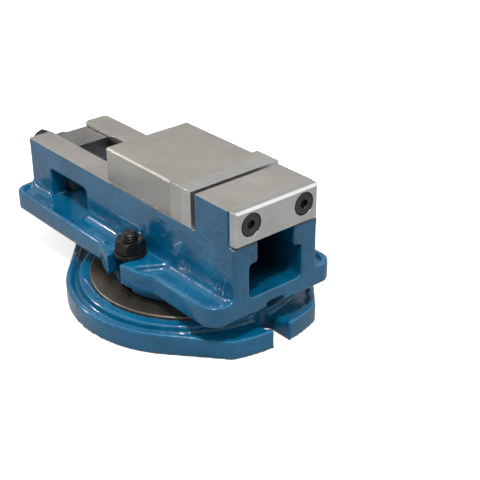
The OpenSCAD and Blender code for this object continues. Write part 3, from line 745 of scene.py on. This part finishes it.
def threaded_rod(outline, pitch, depth, turns_round, start, end, centre, axis):
    """A rod whose radius follows the outline, with one ridge of this pitch from start to end."""
    steps_per_pitch = 8
    stations = []
    at = outline[0][0]
    while at < outline[-1][0] - 1e-9:
        stations.append(at)
        threaded = start <= at < end
        following = [x for x, r in outline if x > at + 1e-9][0]
        leap = pitch / steps_per_pitch if threaded else max(following - at, 1e-6)
        if at < start:
            leap = min(leap, start - at)
        at = min(at + leap, following)
    stations.append(outline[-1][0])

    def radius_at(x):
        for (xa, ra), (xb, rb) in zip(outline, outline[1:]):
            if x <= xb + 1e-9:
                return ra + (rb - ra) * min(1, max(0, (x - xa) / (xb - xa)))
        return outline[-1][1]

    shape = bmesh.new()
    rings = []
    for x in stations:
        ring = []
        for i in range(turns_round):
            angle = 2 * math.pi * i / turns_round
            radius = radius_at(x)
            if start <= x <= end:
                phase = (x / pitch - i / turns_round) % 1.0
                ridge = min(1.0, max(0.0, abs(phase - 0.5) * 4 - 0.5))
                fade = min(1.0, (x - start) / pitch, (end - x) / pitch)
                radius -= depth * ridge * max(0.0, fade)
            place = (radius * math.cos(angle), radius * math.sin(angle), x)
            ring.append(shape.verts.new(place))
        rings.append(ring)
    for a, b in zip(rings, rings[1:]):
        for i in range(turns_round):
            j = (i + 1) % turns_round
            shape.faces.new((a[i], a[j], b[j], b[i]))
    shape.faces.new(list(reversed(rings[0])))
    shape.faces.new(rings[-1])
    turn = Vector((0, 0, 1)).rotation_difference(Vector(axis)).to_matrix().to_4x4()
    bmesh.ops.transform(shape, matrix=Matrix.Translation(centre) @ turn, verts=shape.verts)
    return shape


bolt_box = [Vector(corner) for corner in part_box("clamp_bolts")]
bolt_shape = bmesh.new()
head_mesh = merged_copy("clamp_bolts")
stud_start = 4.2 * mm
stud_radius = 4 * mm
bolt_back = -2.7 * mm
bolt_out = 33.5 * mm
bolt_top = bolt_box[1].z
for side in ("near", "far"):
    low, high = (Vector(corner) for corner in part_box(side + "_clamp_nut"))
    centre = Vector((bolt_back, math.copysign(bolt_out, (low + high).y), 0))
    stud = threaded_rod(
        [(stud_start, stud_radius), (bolt_top - 0.9 * mm, stud_radius),
         (bolt_top - 0.1 * mm, 3.3 * mm), (bolt_top, 3.1 * mm)],
        pitch=1.25 * mm, depth=0.62 * mm, turns_round=32,
        start=18 * mm, end=bolt_top, centre=centre, axis=(0, 0, 1),
    )
    stud_mesh = bpy.data.meshes.new("stud")
    stud.to_mesh(stud_mesh)
    stud.free()
    bolt_shape.from_mesh(stud_mesh)
    bpy.data.meshes.remove(stud_mesh)
shank_start = 9 * mm
heads = bmesh.new()
heads.from_mesh(head_mesh)
bmesh.ops.delete(
    heads,
    geom=[v for v in heads.verts if v.co.z > shank_start],
    context="VERTS",
)
heads.to_mesh(head_mesh)
heads.free()
bolt_shape.from_mesh(head_mesh)
bolt_mesh = bpy.data.meshes.new("clamp_bolts_finished")
bolt_shape.to_mesh(bolt_mesh)
bolt_shape.free()
smooth_shaded(bolt_mesh, 40)
bolt_mesh.materials.append(oxide_finish)
clamp_bolts = shown("clamp_bolts_finished", bolt_mesh)
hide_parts("clamp_bolts")
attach(clamp_bolts, "body")

machined_piece("clamp_washers", "body", oxide_finish, 0.2 * mm)
machined_piece("near_clamp_nut", "near_nut", oxide_finish, 0.22 * mm)
machined_piece("far_clamp_nut", "far_nut", oxide_finish, 0.22 * mm)


# ---------------------------------------------------------------------------
# Screw bracket: a ground steel block between the rails at the rear, held from
# below by two cap screws. It carries the screw and the thrust bearing.
# ---------------------------------------------------------------------------

bracket_steel = steel(
    "ground bracket steel", (0.33, 0.32, 0.31, 1), (0.22, 0.21, 0.2, 1), (90, 4600, 4600),
    0.34, 0.5,
)
machined_piece("screw_bracket", "body", bracket_steel, 0.25 * mm)
machined_piece("bracket_screws", "body", oxide_finish, 0.15 * mm)

bearing_brass, brass_tree, brass_shader = finish_from("bearing brass")
brass_lines = placed(brass_tree, grinding, Stretch=(900.0, 900.0, 900.0), Cloud_size=160.0)
brass_clouding = rise(brass_tree, brass_lines["Cloud"], 0.3, 0.7)
brass_bright = (0.62, 0.43, 0.16, 1)
brass_dull = (0.4, 0.26, 0.1, 1)
brass_tone = mingle(brass_tree, brass_clouding, brass_bright, brass_dull)
brass_tree.links.new(brass_tone, brass_shader.inputs["Base Color"])
brass_gloss = rise(brass_tree, brass_lines["Lines"], 0.3, 0.7, 0.24, 0.4)
brass_tree.links.new(brass_gloss, brass_shader.inputs["Roughness"])
brass_shader.inputs["Metallic"].default_value = 1.0

machined_piece("rear_race", "body", turned_steel, 0.12 * mm)
machined_piece("front_race", "screw", turned_steel, 0.12 * mm)
machined_piece("rear_thrust_washer", "body", bearing_brass, 0.12 * mm)
machined_piece("bearing_cage", "cage", bearing_brass, 0.06 * mm)
for ball_material_slot in cad_nodes["bearing_balls"].material_slots:
    ball_material_slot.material = turned_steel


# ---------------------------------------------------------------------------
# Moving jaw: a ground steel block with a wider hardened plate screwed to its
# front. Broken corners along the top, and a relieved foot that makes the dark
# line over the rails.
# ---------------------------------------------------------------------------

jaw_steel = steel(
    "ground jaw steel", (0.57, 0.545, 0.5, 1), (0.5, 0.475, 0.43, 1), (140, 6500, 6500),
    0.36, 0.46, streaks=0.2,
)
machined_piece("moving_jaw", "jaw", jaw_steel, 0.16 * mm)
moving_plate_steel = steel(
    "ground moving plate steel", (0.6, 0.6, 0.59, 1), (0.5, 0.5, 0.485, 1), (5200, 5200, 130),
    0.3, 0.42,
)
machined_piece("moving_jaw_plate", "jaw", moving_plate_steel, 0.16 * mm)
machined_piece("moving_plate_screws", "jaw", screw_grey, 0.16 * mm)
machined_piece("jaw_set_screw", "jaw", oxide_finish, 0.15 * mm)
machined_piece("lock_segment", "jaw", turned_steel, 0.1 * mm)
machined_piece("screw_nut", "jaw", jaw_steel, 0.25 * mm)


# ---------------------------------------------------------------------------
# Lead screw: turned steel with a coarse single thread, a plain journal in the
# bracket, and the black drive hub pinned to its rear end.
# ---------------------------------------------------------------------------

screw_box = [Vector(corner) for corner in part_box("lead_screw")]
screw_height = (screw_box[0].z + screw_box[1].z) / 2
journal = 4 * mm
thread_radius = 6 * mm
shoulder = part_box("front_race")[1][0]
screw_rear, screw_front = screw_box[0].x, screw_box[1].x
screw_pitch = 3 * mm
end_chamfer = 1.2 * mm
screw_shape = threaded_rod(
    [(screw_rear, journal - 0.4 * mm), (screw_rear + 0.4 * mm, journal), (shoulder, journal),
     (shoulder + 0.01 * mm, thread_radius), (screw_front - end_chamfer, thread_radius),
     (screw_front, thread_radius - end_chamfer)],
    pitch=screw_pitch, depth=1.25 * mm, turns_round=40,
    start=shoulder + screw_pitch, end=screw_front + screw_pitch,
    centre=(0, 0, screw_height), axis=(0, 0, 1),
)
screw_mesh = bpy.data.meshes.new("lead_screw_finished")
bmesh.ops.transform(
    screw_shape,
    matrix=Matrix.Translation((0, 0, screw_height))
    @ Matrix.Rotation(math.pi / 2, 4, "Y")
    @ Matrix.Translation((0, 0, -screw_height)),
    verts=screw_shape.verts,
)
screw_shape.to_mesh(screw_mesh)
screw_shape.free()
smooth_shaded(screw_mesh, 40)
oily_screw_steel = steel(
    "oily screw steel", (0.09, 0.085, 0.08, 1), (0.035, 0.032, 0.03, 1), (900, 900, 900), 0.3, 0.45
)
screw_mesh.materials.append(oily_screw_steel)
lead_screw = shown("lead_screw_finished", screw_mesh)
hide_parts("lead_screw")
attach(lead_screw, "screw")

machined_piece("drive_hub", "screw", oxide_finish, 0.35 * mm)
machined_piece("hub_pin", "screw", turned_steel, 0.12 * mm)
